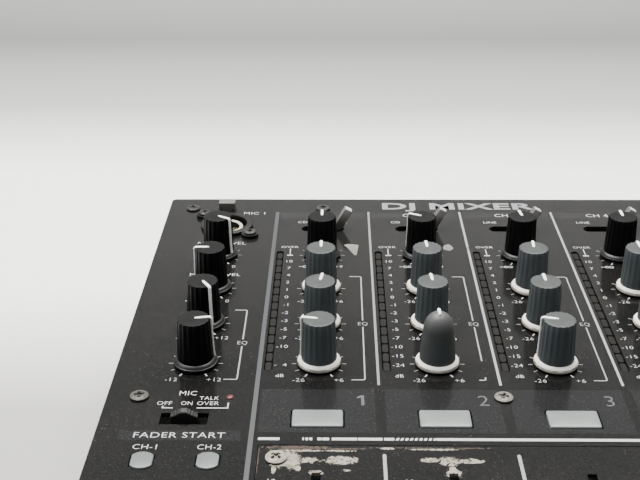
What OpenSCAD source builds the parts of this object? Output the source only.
// Four-channel club DJ mixer: a steel case with a knob panel, a fader plate and a socket panel at the rear.
// Millimetres, +Z up, +X to the operator's right, +Y away from the operator.
// The origin is on the surface it stands on, under the middle of the case.
// Controls are placed by their distance from the panel's left edge and from its rear edge.

/* [Case] */
// Width of the top panel
case_w = 320; // [320:1:340]
// Depth of the top panel
case_d = 371; // [371:1:390]
// Height of the top panel's upper surface
panel_z = 85; // [80:1:95]
// Thickness of the top panel
panel_t = 2; // [2:0.5:3]
// Thickness of the tray and rear sheet
sheet_t = 1.2; // [1:0.1:1.6]
// Height of the rubber feet
foot_h = 5; // [4:0.5:7]

/* [Channels] */
// Number of channel strips
channels = 4; // [4:4]
// Width of one channel strip
pitch = 45; // [45:0.5:46]
// Distance of the first strip from the left edge
mic_col_w = 54.3; // [54:0.1:55]

/* [Knobs] */
// Height of a flat-topped knob above the panel
knob_h = 19.8; // [18:0.1:22]
// Height of the dome-topped knob above the panel
dome_h = 22.7; // [21:0.1:24]
// Diameter of the knob's cap at its foot
knob_foot_d = 13.6; // [13.2:0.1:14]
// Diameter of the knob's cap at its top
knob_top_d = 12.4; // [11:0.1:13]
// Diameter of the knob's skirt
skirt_d = 16.8; // [15.5:0.1:18]

/* [Faders] */
// Travel of a channel fader
fader_travel = 60; // [45:1:60]
// Travel of the crossfader
cross_travel = 45; // [30:1:45]

/* [Hidden] */
$fn = 48;
strips = [0 : channels - 1];

// Rows, measured from the rear edge
row_input = 35.6;
row_trim = 64.4;
row_high = 96.7;
row_mid = 127.2;
row_low = 157.8;
row_cue = 194.2;
row_start = 219;
row_cross = 328;
channel_rows = [row_trim, row_high, row_mid, row_low];

// Columns, measured from the left edge
mic_x = 29.9;
function strip_x(k) = mic_col_w + (k + 0.505) * pitch;
master_x = 263;
effect_xs = [256, 295];
effect_y = 250;
start_xs = [18.8, 40.8];
headphone_ys = [262, 300];
assign_xs = [strip_x(0), strip_x(3)];
cross_x = mic_col_w + 2 * pitch;

// Every rotary control as [x, y], in the order of rotary_names
rotaries = concat(
    [for (y = channel_rows) [mic_x, y]],
    [for (y = headphone_ys) [mic_x, y]],
    [for (y = channel_rows) for (k = strips) [strip_x(k), y]],
    [for (x = assign_xs) [x, row_cross]],
    [[master_x, row_trim], [master_x, 111]],
    [for (x = effect_xs) [x, effect_y]]);
rotary_names = concat(
    ["mic_1_level_knob", "mic_2_level_knob", "mic_high_knob", "mic_low_knob"],
    ["headphone_mix_knob", "headphone_level_knob"],
    [for (row = ["trim", "high", "mid", "low"]) for (k = strips) str(row, "_knob_", k + 1)],
    ["assign_knob_a", "assign_knob_b", "master_level_knob", "booth_level_knob"],
    ["effect_select_knob", "effect_time_knob"]);
// Where each pointer stands, in degrees clockwise from the rear, in the same order
pointers = concat(
    [122, -90, 148, 80],
    [0, -60],
    [0, -63, -7, 0],
    [0, -2, 4, 0],
    [8, -4, -1, 0],
    [-79, -2, -75, -80],
    [-45, 45, -30, -40],
    [-60, 0]);

// Knob details
bushing_r = 3.5;
shaft_r = 3;
shaft_gap = 0.1;
knob_lift = 0.8;
skirt_top = 3;
knob_hollow_r = 5.8;
knob_hollow_top = 6;
nut_r = 5.2;
nut_h = 2;
pot_body = [12.5, 12.5, 10];
pointer_w = 1.1;
pointer_lift = 0.15;
skirt_slope = [0.7, 0.8];
rim_chamfer = 0.4;
dome_knob = "low_knob_2";
dome_shoulder = [5.9, 15];

// Buttons: cap size, and how far it stands up, travels and reaches down
cue_size = [18.1, 10.2];
effect_size = [30, 14];
start_d = 9.2;
start_w = 7.4;
button_up = 0.8;
button_gap = 0.5;
button_body = 3;
button_stem_r = 2.5;
button_corner = 0.9;
button_rim = 1;
button_travel = 1;
button_flange = 1.4;
button_flange_top = -panel_t - 0.5;
button_foot_z = -5;
switch_top = button_foot_z - button_travel - 0.3;
effect_button_at = [275.5, 305];

// Input levers: a bar that tilts about a pin under the panel
lever_depth = 12;
lever_len = 25.6;
lever_tilt = 28.6;
lever_bar = [4, 4];
lever_slot = [20.4, 6.2];
lever_hub_r = 3;
lever_pin_r = 1.5;
lever_pin_gap = 0.05;
lever_case = [27, 11, 17.5];
lever_room = [23, 5, 20];
lever_room_z = -17;

// Microphone mode slide switch
mic_switch_y = 194.6;
mic_slot = [17, 7];
mic_slider = [9.5, 3];
mic_slider_y = 193.8;
mic_switch_case = [26, 9.4, 10];
mic_switch_room = [18, 6.4, 20];

// Faders
fader_slot_w = 3.1;
fader_slot_rear = 225;
fader_cap = [10.5, 23, 11.5];
fader_stem = [2.2, 8];
fader_end_gap = 0.6;
function slot_len(travel) = travel + fader_stem[1] + 2 * fader_end_gap;
fader_rest_y = fader_slot_rear + slot_len(fader_travel) - fader_stem[1] / 2 - fader_end_gap;
fader_floor = -13;
fader_track_w = 14;
fader_track_top = -2.5;

// Fader plate and its ledge
plate_x = [57.3, 231.3];
plate_y = [210, 352];
plate_t = 1.2;
plate_ledge = 4;
plate_gap = 0.3;

// Level meters
meter_w = 3.3;
meter_ends = [60, 163];
meter_dx = 3.4;
master_meters = [239.5, 247.5];
display_at = [281, 36];
display_size = [34, 18];
lamp_at = [45, 181.1];
lamp_r = 1.4;

// Microphone socket
mic_socket_at = [30.6, 32.6];
mic_lug = [11.9, 11];
mic_flange_r = 12.5;
mic_flange_h = 1.6;
mic_lug_r = 4;
mic_well_r = 9.6;
mic_insert_r = 7.7;
mic_insert_drop = 0.6;
mic_contact_at = 5.4;
mic_contact_r = 1;
mic_depth = 16;
jack_r = 3.25;
latch_at = [29.2, 14.8];
latch_size = [8.1, 4.4, 5.3];
latch_gap = 0.4;
latch_reach = 4;
phones_at = [mic_x, 340];
phones_len = 14;

// Feet: where they stand, their radii and their screws
foot_at = [135, 155];
foot_r = 11;
foot_sole_r = 9.5;
foot_sole_h = 1.5;
foot_recess_r = 4;
foot_recess_h = 2;
foot_screw_r = 3;
foot_screw_h = 1.4;

// Cooling slots: [how many, spacing, width, length or height]
floor_vents = [12, 12, 4, 40];
floor_vents_at = [-68, -120];
wall_vents = [10, 11, 4, 34];
wall_vents_at = [20, 24];

// Circuit boards on standoffs, and the power supply
board_t = 1.6;
standoff_h = 8;
standoff_r = 3;
main_board_at = [-118, 58];
main_board_size = [238, 108];
supply_at = [-96, -60];
coil_r = 23;
coil_size = [22, 30];
supply_board_at = [46, -34];
supply_board_size = [110, 68];
capacitor_r = 6.5;
capacitor_h = 24;
sink_at = [60, -24];
sink_size = [70, 3, 26];
sink_fin = [1.6, 6, 26];

// Rear panel
rear_inset = 9;
rear_y = case_d / 2 - rear_inset;
rca_r = 4.15;
rca_len = 8.2;
rca_rows = [30, 48];
rca_xs = concat([for (k = [0 : 7]) -40 + k * 17], [96, 113, 130]);
xlr_xs = [-75, -108];
xlr_z = 39;
xlr_r = 10.4;
inlet_at = [-138, 26];
rocker_at = [-138, 62];
rocker_tilt = 10;
rocker_depth = 12;
ground_at = [-62, 66];
mic2_at = [147, 39];

// Panel screws, on the panel and on the fader plate
screw_head_r = 3.4;
plate_head_r = 3.6;
lug_head_r = 2.8;
screw_head_h = 1.1;
screw_rim_h = 0.5;
screw_r = 1.5;
screw_gap = 0.1;
screw_cross = [3.6, 0.8, 0.7];
panel_screws = [[11.9, 12.3], [11.9, 180.9], [11.9, 358], [76.8, 12.1], [243.2, 12.1],
    [308.1, 12.3], [308.1, 180.9], [308.1, 358]];
post_screws = [[144.3, 180.9], [144.3, 362]];
plate_screws = [[63.5, 217.4], [225.1, 217.4], [63.5, 344], [225.1, 344]];

// ---- helpers -------------------------------------------------------------

// Moves its children to a place on the panel, with z = 0 on the panel's upper surface
module on_panel(p, z = 0) {
    translate([p[0] - case_w / 2, case_d / 2 - p[1], panel_z + z]) children();
}

// The same, in the flat outline of the panel
module in_outline(p) {
    translate([p[0] - case_w / 2, case_d / 2 - p[1]]) children();
}

module slot_2d(size) {
    r = min(size[0], size[1]) / 2;
    wide = size[0] > size[1];
    reach = max(size[0], size[1]) / 2 - r;
    square([wide ? 2 * reach : 2 * r, wide ? 2 * r : 2 * reach], center = true);
    for (s = [-1, 1]) translate(wide ? [s * reach, 0] : [0, s * reach]) circle(r);
}

module rounded_2d(size, r) {
    square([size[0] - 2 * r, size[1]], center = true);
    square([size[0], size[1] - 2 * r], center = true);
    for (sx = [-1, 1]) for (sy = [-1, 1])
        translate([sx * (size[0] / 2 - r), sy * (size[1] / 2 - r)]) circle(r);
}

// A disc with two flat sides, the outline of the fader start buttons
module flatted_2d(d, w) {
    intersection() {
        circle(d / 2);
        square([w, d + 1], center = true);
    }
}

module ring(r_out, r_in, h) {
    difference() {
        cylinder(r = r_out, h = h);
        translate([0, 0, -1]) cylinder(r = r_in, h = h + 2);
    }
}

module box_at(size, z) {
    translate([-size[0] / 2, -size[1] / 2, z]) cube(size);
}

// ---- case ----------------------------------------------------------------

module panel_holes_2d() {
    for (p = rotaries) in_outline(p) circle(bushing_r + 0.1);
    for (k = strips) {
        in_outline([strip_x(k), row_input]) slot_2d(lever_slot);
        in_outline([strip_x(k), row_cue]) rounded_2d(cue_size + [2, 2] * button_gap, button_corner);
        in_outline([mic_col_w + k * pitch + meter_dx, (meter_ends[0] + meter_ends[1]) / 2])
            slot_2d([meter_w, meter_ends[1] - meter_ends[0]]);
    }
    for (x = master_meters) in_outline([x, (meter_ends[0] + meter_ends[1]) / 2])
        slot_2d([meter_w, meter_ends[1] - meter_ends[0]]);
    for (x = start_xs) in_outline([x, row_start])
        flatted_2d(start_d + 2 * button_gap, start_w + 2 * button_gap);
    in_outline(effect_button_at) rounded_2d(effect_size + [2, 2] * button_gap, 1.5);
    in_outline([mic_x, mic_switch_y]) square(mic_slot, center = true);
    in_outline(display_at) square(display_size, center = true);
    in_outline(lamp_at) circle(lamp_r);
    in_outline(mic_socket_at) circle(mic_well_r + 1);
    in_outline(latch_at) square([latch_size[0], latch_size[1]] + [2, 2] * latch_gap, center = true);
    in_outline(phones_at) circle(5.2);
    for (p = concat(panel_screws, post_screws)) in_outline(p) circle(screw_r + screw_gap);
    for (s = [-1, 1]) in_outline(mic_socket_at + s * mic_lug) circle(screw_r + screw_gap);
}

module plate_area_2d(margin) {
    in_outline([(plate_x[0] + plate_x[1]) / 2, (plate_y[0] + plate_y[1]) / 2])
        square([plate_x[1] - plate_x[0] + 2 * margin, plate_y[1] - plate_y[0] + 2 * margin], center = true);
}

module top_panel() {
    color([0.2, 0.2, 0.2]) {
        translate([0, 0, panel_z - panel_t]) linear_extrude(panel_t - plate_t) difference() {
            rounded_2d([case_w, case_d], 2.5);
            panel_holes_2d();
            plate_area_2d(-plate_ledge);
            for (p = plate_screws) in_outline(p) circle(screw_r + screw_gap);
        }
        translate([0, 0, panel_z - plate_t]) linear_extrude(plate_t) difference() {
            rounded_2d([case_w, case_d], 2.5);
            panel_holes_2d();
            plate_area_2d(plate_gap);
        }
        // folded front face, and the lip over the rear panel
        translate([-case_w / 2 + 2.5, -case_d / 2, foot_h + 2])
            cube([case_w - 5, 1.5, panel_z - panel_t - foot_h - 2]);
        translate([-case_w / 2 + 2.5, case_d / 2 - 1.5, panel_z - panel_t - 8]) cube([case_w - 5, 1.5, 8]);
        // pads that the fader plate's screws go through
        for (p = plate_screws) on_panel(p, -plate_t - 2.4) ring(4.5, screw_r, 2.4);
    }
}

module fader_plate() {
    color([0.16, 0.16, 0.16])
        translate([0, 0, panel_z - plate_t]) linear_extrude(plate_t) difference() {
            plate_area_2d(0);
            for (k = strips) in_outline([strip_x(k), fader_slot_rear + slot_len(fader_travel) / 2])
                square([fader_slot_w, slot_len(fader_travel)], center = true);
            in_outline([cross_x, row_cross]) square([slot_len(cross_travel), fader_slot_w], center = true);
            for (x = assign_xs) in_outline([x, row_cross]) circle(bushing_r + 0.1);
            for (p = plate_screws) in_outline(p) circle(screw_r + screw_gap);
        }
}

wall_x = case_w / 2 - 1;
wall_top = panel_z - panel_t;
tray_front = -case_d / 2 + 1.7;
flange_w = 13;
rear_lip = 15;
lip_gap = 0.2;
// where the rear panel's lip is cut away round the microphone socket and its release tab
lip_notch = [14.9, 44.9, 11.4];

module bottom_tray() {
    color([0.13, 0.13, 0.14]) difference() {
        union() {
            translate([-wall_x, tray_front, foot_h]) cube([2 * wall_x, rear_y - tray_front, sheet_t]);
            translate([-wall_x, tray_front, foot_h]) cube([2 * wall_x, sheet_t, 16]);
            for (s = [-1, 1]) {
                translate([s * (wall_x - sheet_t / 2) - sheet_t / 2, tray_front, foot_h])
                    cube([sheet_t, rear_y + 5 - tray_front, wall_top - foot_h]);
                translate([s * (wall_x - flange_w / 2) - flange_w / 2, tray_front, wall_top - sheet_t])
                    cube([flange_w, rear_y - rear_lip - tray_front, sheet_t]);
            }
            for (p = post_screws) on_panel(p, foot_h - panel_z) cylinder(r = 3, h = wall_top - foot_h);
        }
        for (p = concat(panel_screws, post_screws)) on_panel(p, -panel_t - 9) cylinder(r = screw_r, h = 12);
        at_feet() translate([0, 0, foot_h - 1]) cylinder(r = screw_r, h = 4);
        for (k = [0 : floor_vents[0] - 1])
            translate([floor_vents_at[0] + k * floor_vents[1], floor_vents_at[1], foot_h - 1])
                cube([floor_vents[2], floor_vents[3], 4]);
        for (k = [0 : wall_vents[0] - 1])
            translate([-wall_x - 1, wall_vents_at[0] + k * wall_vents[1], wall_vents_at[1]])
                cube([2 * wall_x + 2, wall_vents[2], wall_vents[3]]);
    }
}

module on_rear(x, z, y = 0) {
    translate([x, rear_y + y, z]) rotate([-90, 0, 0]) children();
}

module rear_panel() {
    color([0.15, 0.15, 0.15]) difference() {
        union() {
            translate([-wall_x + sheet_t, rear_y - sheet_t, foot_h + sheet_t])
                cube([2 * (wall_x - sheet_t), sheet_t, wall_top - foot_h - sheet_t]);
            translate([-wall_x + sheet_t, rear_y - rear_lip + lip_gap, wall_top - sheet_t])
                cube([2 * (wall_x - sheet_t), rear_lip - lip_gap, sheet_t]);
        }
        for (x = rca_xs) for (z = rca_rows) on_rear(x, z, -3) cylinder(r = 5, h = 5);
        for (x = xlr_xs) on_rear(x, xlr_z, -3) cylinder(r = xlr_r + 0.8, h = 5);
        on_rear(ground_at[0], ground_at[1], -3) cylinder(r = screw_r, h = 5);
        on_rear(mic2_at[0], mic2_at[1], -3) cylinder(r = 5.2, h = 5);
        translate([inlet_at[0] - 14, rear_y - 3, inlet_at[1] - 10.5]) cube([28, 5, 21]);
        translate([rocker_at[0] - 7, rear_y - 3, rocker_at[1] - 11]) cube([14, 5, 22]);
        for (p = panel_screws) on_panel(p, -panel_t - 9) cylinder(r = screw_r, h = 12);
        on_panel([lip_notch[0], rear_inset + rear_lip], -panel_t - 2)
            cube([lip_notch[1] - lip_notch[0], rear_inset + rear_lip - lip_notch[2], 3]);
    }
}

// Puts its children at each of the four feet
module at_feet() {
    for (sx = [-1, 1]) for (sy = [-1, 1]) translate([sx * foot_at[0], sy * foot_at[1], 0]) children();
}

module feet() {
    color([0.06, 0.06, 0.06]) at_feet() difference() {
        union() {
            cylinder(r = foot_sole_r, h = foot_sole_h);
            translate([0, 0, foot_sole_h]) cylinder(r1 = foot_sole_r, r2 = foot_r, h = foot_h - foot_sole_h);
        }
        translate([0, 0, -1]) cylinder(r = foot_recess_r, h = foot_recess_h + 1);
        cylinder(r = screw_r, h = foot_h + 1);
    }
}

module panel_screw(reach, head_r = screw_head_r) {
    difference() {
        union() {
            cylinder(r = head_r, h = screw_rim_h);
            translate([0, 0, screw_rim_h])
                cylinder(r1 = head_r, r2 = head_r - 1, h = screw_head_h - screw_rim_h);
            translate([0, 0, -reach]) cylinder(r = screw_r, h = reach);
        }
        for (a = [45, 135]) rotate([0, 0, a])
            box_at([screw_cross[0], screw_cross[1], 2], screw_head_h - screw_cross[2]);
    }
}

module fasteners() {
    color([0.75, 0.74, 0.7]) {
        for (p = concat(panel_screws, post_screws)) on_panel(p) panel_screw(7);
        for (p = plate_screws) on_panel(p) panel_screw(3.4, plate_head_r);
        for (s = [-1, 1]) on_panel(mic_socket_at + s * mic_lug, mic_flange_h) panel_screw(7, lug_head_r);
        for (p = rotaries) on_panel(p) ring(nut_r, bushing_r, nut_h);
        at_feet() translate([0, 0, foot_recess_h]) mirror([0, 0, 1]) difference() {
            union() {
                cylinder(r = foot_screw_r, h = foot_screw_h);
                translate([0, 0, -7]) cylinder(r = screw_r, h = 7);
            }
            box_at([screw_cross[0], screw_cross[1], 2], screw_cross[2]);
        }
        on_rear(ground_at[0], ground_at[1], -5) cylinder(r = screw_r, h = 11);
        on_rear(ground_at[0], ground_at[1], 1.5) ring(4, screw_r, 3);
    }
}

// ---- inside --------------------------------------------------------------

board_z = -panel_t - pot_body[2];

module board(x0, x1, y0, y1) {
    on_panel([(x0 + x1) / 2, (y0 + y1) / 2], board_z - board_t) box_at([x1 - x0, y1 - y0, board_t], 0);
}

module main_board() {
    translate([0, 0, foot_h + sheet_t]) {
        translate([main_board_at[0], main_board_at[1], standoff_h])
            cube([main_board_size[0], main_board_size[1], board_t]);
        for (x = [-112, 0, 112]) for (y = [66, 158]) translate([x, y, 0])
            cylinder(r = standoff_r, h = standoff_h);
        // chips and capacitors
        translate([0, 0, standoff_h + board_t]) {
            for (k = [0 : 3]) translate([-80 + k * 42, 92, 0]) cube([18, 18, 2.4]);
            for (k = [0 : 9]) translate([-100 + k * 20, 80, 0]) cylinder(r = 3.2, h = 9);
            for (k = [0 : 2]) translate([60 + k * 18, 122, 0]) cube([12, 6, 3]);
        }
    }
}

module circuit_boards() {
    color([0.12, 0.3, 0.16]) {
        difference() {
            board(18, 302, 50, 206);
            for (p = post_screws) on_panel(p, board_z - 5) cylinder(r = 4, h = 10);
        }
        board(16, 46, 248, 314);
        board(240, 304, 236, 320);
        for (x = assign_xs) on_panel([x, row_cross], board_z - board_t) box_at([24, 20, board_t], 0);
        main_board();
    }
}

module power_supply() {
    color([0.72, 0.56, 0.26]) translate([supply_at[0], supply_at[1], foot_h + sheet_t]) {
        // ring-core transformer on its washer
        cylinder(r = 30, h = 2);
        translate([0, 0, coil_size[1] / 2 + 2]) rotate_extrude()
            translate([coil_r, 0]) rounded_2d(coil_size, 5);
        // supply board with its smoothing capacitors and heat sink
        translate([supply_board_at[0], supply_board_at[1], standoff_h])
            cube([supply_board_size[0], supply_board_size[1], board_t]);
        for (x = [52, 150]) for (y = [-28, 28]) translate([x, y, 0])
            cylinder(r = standoff_r, h = standoff_h);
        for (k = [0 : 3]) translate([64 + k * 17, 18, standoff_h + board_t])
            cylinder(r = capacitor_r, h = capacitor_h);
        translate([sink_at[0], sink_at[1], standoff_h + board_t]) {
            cube(sink_size);
            for (k = [0 : 9]) translate([1 + k * 7.2, -sink_fin[1], 0]) cube(sink_fin);
        }
    }
}

module pot_at(p) {
    on_panel(p) difference() {
        union() {
            box_at(pot_body, -panel_t - pot_body[2]);
            translate([0, 0, -panel_t]) cylinder(r = bushing_r, h = panel_t + nut_h + 1.4);
        }
        translate([0, 0, -panel_t - 6.4]) cylinder(r = shaft_r + shaft_gap, h = 20);
    }
}

module lever_housing() {
    difference() {
        box_at(lever_case, -panel_t - lever_case[2] - 0.5);
        box_at(lever_room, lever_room_z);
    }
    translate([0, 0, -lever_depth]) rotate([90, 0, 0]) cylinder(r = lever_pin_r, h = 6, center = true);
}

module press_switch(at) {
    on_panel(at) box_at([7, 7, switch_top - board_z], board_z);
}

module pots_and_switches() {
    color([0.3, 0.3, 0.32]) {
        for (p = rotaries) pot_at(p);
        for (k = strips) on_panel([strip_x(k), row_input]) lever_housing();
        for (k = strips) press_switch([strip_x(k), row_cue]);
        for (x = start_xs) on_panel([x, row_start])
            box_at([7, 7, 12], switch_top - 12);
        press_switch(effect_button_at);
        on_panel([mic_x, mic_switch_y]) difference() {
            box_at(mic_switch_case, -panel_t - mic_switch_case[2]);
            box_at(mic_switch_room, -panel_t - 7);
        }
    }
}

module fader_track(travel) {
    groove = slot_len(travel);
    base = fader_floor - 1.5;
    end_block = 5;
    difference() {
        union() {
            box_at([fader_track_w, groove + 2 * end_block, fader_track_top - base], base);
            // end blocks that hang the track from the fader plate
            for (s = [-1, 1]) translate([0, s * (groove + end_block) / 2, 0])
                box_at([fader_track_w, end_block - 1, -plate_t - base], base);
        }
        box_at([fader_stem[0] + 1, groove, 20], fader_floor);
    }
}

module fader_tracks() {
    color([0.5, 0.5, 0.5]) {
        for (k = strips) on_panel([strip_x(k), fader_slot_rear + slot_len(fader_travel) / 2])
            fader_track(fader_travel);
        on_panel([cross_x, row_cross]) rotate([0, 0, 90]) fader_track(cross_travel);
    }
}

module display_lenses() {
    lens_drop = 0.5;
    color([0.12, 0.11, 0.1]) {
        for (x = concat([for (k = strips) mic_col_w + k * pitch + meter_dx], master_meters))
            on_panel([x, (meter_ends[0] + meter_ends[1]) / 2], -5) {
                linear_extrude(5 - lens_drop) slot_2d([meter_w, meter_ends[1] - meter_ends[0]]);
                box_at([meter_w + 3, meter_ends[1] - meter_ends[0] + 2, 7], -7);
            }
        on_panel(display_at, -4) {
            box_at([display_size[0], display_size[1], 4 - lens_drop], 0);
            box_at([display_size[0] + 4, display_size[1] + 4, 6], -6);
        }
        on_panel(lamp_at, -6) cylinder(r = lamp_r, h = 6.2);
    }
}

// ---- sockets -------------------------------------------------------------

module mic_socket() {
    color([0.12, 0.12, 0.12]) on_panel(mic_socket_at) difference() {
        union() {
            cylinder(r = mic_flange_r, h = mic_flange_h);
            for (s = [-1, 1]) translate(s * [mic_lug[0], -mic_lug[1]])
                cylinder(r = mic_lug_r, h = mic_flange_h);
            translate([0, 0, -mic_depth - 1.5]) cylinder(r = mic_well_r + 0.9, h = mic_depth + 1.6);
        }
        translate([0, 0, -mic_depth]) difference() {
            cylinder(r = mic_well_r, h = mic_depth + 5);
            cylinder(r = mic_insert_r, h = mic_depth - mic_insert_drop);
        }
        translate([0, 0, -mic_depth + 1]) cylinder(r = jack_r, h = mic_depth + 5);
        for (a = [90, 210, 330]) rotate([0, 0, a])
            translate([mic_contact_at, 0, -mic_depth + 4]) cylinder(r = mic_contact_r, h = mic_depth);
        for (s = [-1, 1]) translate(s * [mic_lug[0], -mic_lug[1]] + [0, 0, -1]) cylinder(r = screw_r, h = 4);
    }
}

module rca_socket() {
    difference() {
        union() {
            cylinder(r = 5.6, h = 1.2);
            cylinder(r = rca_r, h = rca_len);
            translate([0, 0, -10]) cylinder(r = 4.8, h = 10.2);
        }
        translate([0, 0, -8]) cylinder(r = 1.7, h = 20);
    }
}

module xlr_socket() {
    pin_ring = 4.6;
    difference() {
        union() {
            cylinder(r = 13, h = 1.6);
            translate([0, 0, -17]) cylinder(r = xlr_r + 0.7, h = 18);
        }
        translate([0, 0, -15]) cylinder(r = xlr_r, h = 20);
    }
    for (a = [-90, 30, 150]) rotate([0, 0, a]) translate([pin_ring, 0, -15.5]) cylinder(r = 1.2, h = 12);
}

module inlet() {
    difference() {
        union() {
            box_at([32, 25, 2], 0);
            box_at([27.6, 20.6, 18], -17.5);
        }
        box_at([24, 16.4, 30], -15);
    }
    for (x = [-7, 0, 7]) translate([x, x == 0 ? -3 : 2, 0]) box_at([2, 4, 12], -15.5);
}

// A round quarter-inch socket with its bushing along +Z
module jack_socket(bushing_up) {
    difference() {
        union() {
            translate([0, 0, -phones_len - 2]) box_at([16, 14, phones_len + 2 - panel_t], 0);
            translate([0, 0, -panel_t - 0.1]) cylinder(r = 5, h = panel_t + 0.1 + bushing_up);
            cylinder(r = 7, h = 1.4);
        }
        translate([0, 0, -phones_len]) cylinder(r = jack_r, h = phones_len + 10);
    }
}

module rocker_bezel() {
    difference() {
        union() {
            box_at([17, 25, 1.6], 0);
            box_at([13.6, 21.6, rocker_depth + 0.5], -rocker_depth);
        }
        box_at([9.8, 18.6, 30], -rocker_depth + 1.6);
        translate([0, 0, -4]) rotate([0, 90, 0]) cylinder(r = 1.3, h = 12.6, center = true);
    }
}

module sockets() {
    color([0.1, 0.1, 0.1]) {
        for (x = rca_xs) for (z = rca_rows) on_rear(x, z) rca_socket();
        for (x = xlr_xs) on_rear(x, xlr_z) xlr_socket();
        on_rear(inlet_at[0], inlet_at[1]) inlet();
        on_rear(rocker_at[0], rocker_at[1]) rocker_bezel();
        on_rear(mic2_at[0], mic2_at[1]) jack_socket(3);
        on_panel(phones_at) jack_socket(2.6);
    }
}

// ---- moving parts --------------------------------------------------------

// The cap's outer radius at height z above the panel
function cap_r(z) = (knob_foot_d + (knob_top_d - knob_foot_d) * (z - skirt_top) / (knob_h - skirt_top)) / 2;

module skirt() {
    slope_z = skirt_top - skirt_slope[1];
    translate([0, 0, knob_lift]) cylinder(r = skirt_d / 2, h = slope_z - knob_lift);
    translate([0, 0, slope_z])
        cylinder(r1 = skirt_d / 2, r2 = skirt_d / 2 - skirt_slope[0], h = skirt_slope[1]);
}

module knob_hollow() {
    translate([0, 0, knob_lift - 1]) cylinder(r = knob_hollow_r, h = knob_hollow_top - knob_lift + 1);
}

module knob(pointer) {
    rim_z = knob_h - rim_chamfer;
    difference() {
        union() {
            skirt();
            translate([0, 0, skirt_top])
                cylinder(r1 = knob_foot_d / 2, r2 = knob_top_d / 2, h = rim_z - skirt_top);
            translate([0, 0, rim_z])
                cylinder(r1 = cap_r(knob_h), r2 = cap_r(knob_h) - rim_chamfer, h = rim_chamfer);
            // raised pointer up the side
            rotate([0, 0, -pointer]) translate([-pointer_w / 2, 0, skirt_top - 1])
                cube([pointer_w, cap_r(knob_h), knob_h - skirt_top + 1 + pointer_lift]);
        }
        knob_hollow();
    }
    shaft();
}

module shaft() {
    translate([0, 0, -panel_t - 6]) cylinder(r = shaft_r, h = panel_t + 6 + knob_hollow_top + 0.5);
}

// The one knob with a rounded top
module dome_top_knob() {
    rise = dome_h - dome_shoulder[1];
    difference() {
        union() {
            skirt();
            rotate_extrude() polygon(concat([[0, skirt_top]], [[knob_foot_d / 2 + 0.1, skirt_top]],
                [for (a = [0 : 10 : 90]) [dome_shoulder[0] * cos(a), dome_shoulder[1] + rise * sin(a)]]));
        }
        knob_hollow();
    }
    shaft();
}

module rotary_knob(i) {
    name = rotary_names[i];
    dark = i < 10 || i >= 22;
    color(dark ? [0.05, 0.05, 0.05] : [0.3, 0.32, 0.33]) on_panel(rotaries[i])
        if (name == dome_knob) dome_top_knob();
        else knob(pointers[i]);
}

// The rim that stops a button under the panel, and the stem that presses its switch
module button_foot(rim) {
    box_at([rim[0], rim[1], button_flange], button_flange_top - button_flange);
    translate([0, 0, button_foot_z]) cylinder(r = button_stem_r, h = button_body);
}

module wide_button(size) {
    translate([0, 0, -button_body]) linear_extrude(button_body + button_up) rounded_2d(size, button_corner);
    button_foot(size + [2, 2] * button_rim);
}

module start_button() {
    translate([0, 0, -button_body]) linear_extrude(button_body + button_up) flatted_2d(start_d, start_w);
    button_foot([start_w, start_d + 2 * button_rim]);
}

module input_lever() {
    translate([0, 0, -lever_depth]) rotate([0, lever_tilt, 0]) {
        difference() {
            union() {
                rotate([90, 0, 0]) cylinder(r = lever_hub_r, h = lever_bar[1], center = true);
                box_at([lever_bar[0], lever_bar[1], lever_len], 0);
            }
            rotate([90, 0, 0]) cylinder(r = lever_pin_r + lever_pin_gap, h = 8, center = true);
        }
    }
}

module mic_mode_switch() {
    color([0.03, 0.03, 0.03]) on_panel([mic_x, mic_slider_y]) {
        box_at([mic_slider[0], mic_slider[1], panel_t + 6], -panel_t - 5);
        translate([0, mic_slider[1] / 2, 1]) rotate([90, 0, 0]) linear_extrude(mic_slider[1])
            polygon([[-mic_slider[0] / 2, 0], [mic_slider[0] / 2, 0], [1.2, 2.2], [-1.2, 2.2]]);
    }
}

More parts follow.
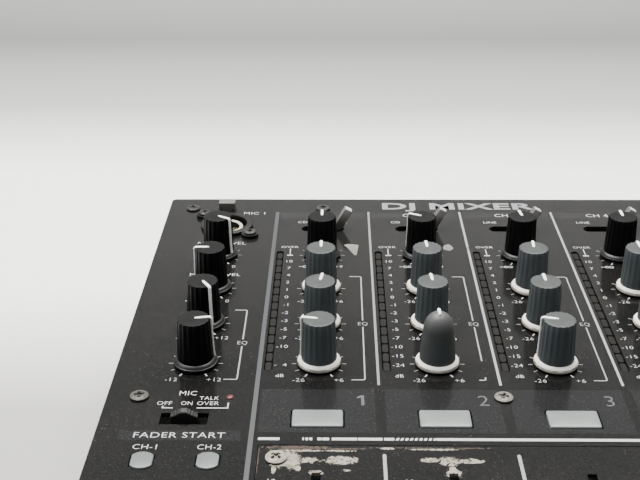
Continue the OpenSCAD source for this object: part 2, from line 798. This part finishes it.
module fader_knob() {
    base = 2.2;
    translate([0, 0, base]) {
        difference() {
            union() {
                box_at([fader_cap[0], fader_cap[1], 4], 0);
                translate([fader_cap[0] / 2, 0, 4]) rotate([0, -90, 0]) linear_extrude(fader_cap[0])
                    polygon([[0, -fader_cap[1] / 2], [0, fader_cap[1] / 2], [fader_cap[2] - 4, 5.2],
                        [fader_cap[2] - 5.4, 0], [fader_cap[2] - 4, -5.2]]);
            }
            box_at([fader_cap[0] - 3, fader_cap[1] - 3, 4], -1);
        }
    }
    box_at([fader_stem[0], fader_stem[1], base + 4 - (fader_floor + 1)], fader_floor + 1);
}

module mic_latch() {
    color([0.25, 0.25, 0.24]) on_panel(latch_at)
        box_at([latch_size[0], latch_size[1], latch_size[2] + panel_t + latch_reach], -panel_t - latch_reach);
}

module power_switch() {
    color([0.08, 0.08, 0.08]) on_rear(rocker_at[0], rocker_at[1], -4) rotate([rocker_tilt, 0, 0]) {
        rotate([0, -90, 0]) translate([0, 0, -4.5]) linear_extrude(9)
            polygon([[-4, -3], [3.2, -8.3], [4.6, -8.1], [3.4, 0], [4.6, 8.1], [3.2, 8.3], [-4, 3]]);
        rotate([0, 90, 0]) cylinder(r = 1.2, h = 12, center = true);
    }
}

// ---- assembly ------------------------------------------------------------

bottom_tray();
top_panel();
fader_plate();
rear_panel();
feet();
fasteners();
circuit_boards();
power_supply();
pots_and_switches();
fader_tracks();
display_lenses();
mic_socket();
sockets();
for (i = [0 : len(rotaries) - 1])
    rotary_knob(i);
mic_mode_switch();
for (k = [0, 1])
    color([0.82, 0.84, 0.83]) on_panel([start_xs[k], row_start]) start_button();
mic_latch();
for (k = strips) {
    color([0.7, 0.7, 0.7]) on_panel([strip_x(k), row_input]) input_lever();
    color([0.82, 0.84, 0.83]) on_panel([strip_x(k), row_cue]) wide_button(cue_size);
    color([0.3, 0.32, 0.33]) on_panel([strip_x(k), fader_rest_y]) fader_knob();
}
color([0.3, 0.32, 0.33]) on_panel([cross_x, row_cross]) rotate([0, 0, 90]) fader_knob();  // crossfader
color([0.82, 0.84, 0.83]) on_panel(effect_button_at) wide_button(effect_size);  // effect_button
power_switch();
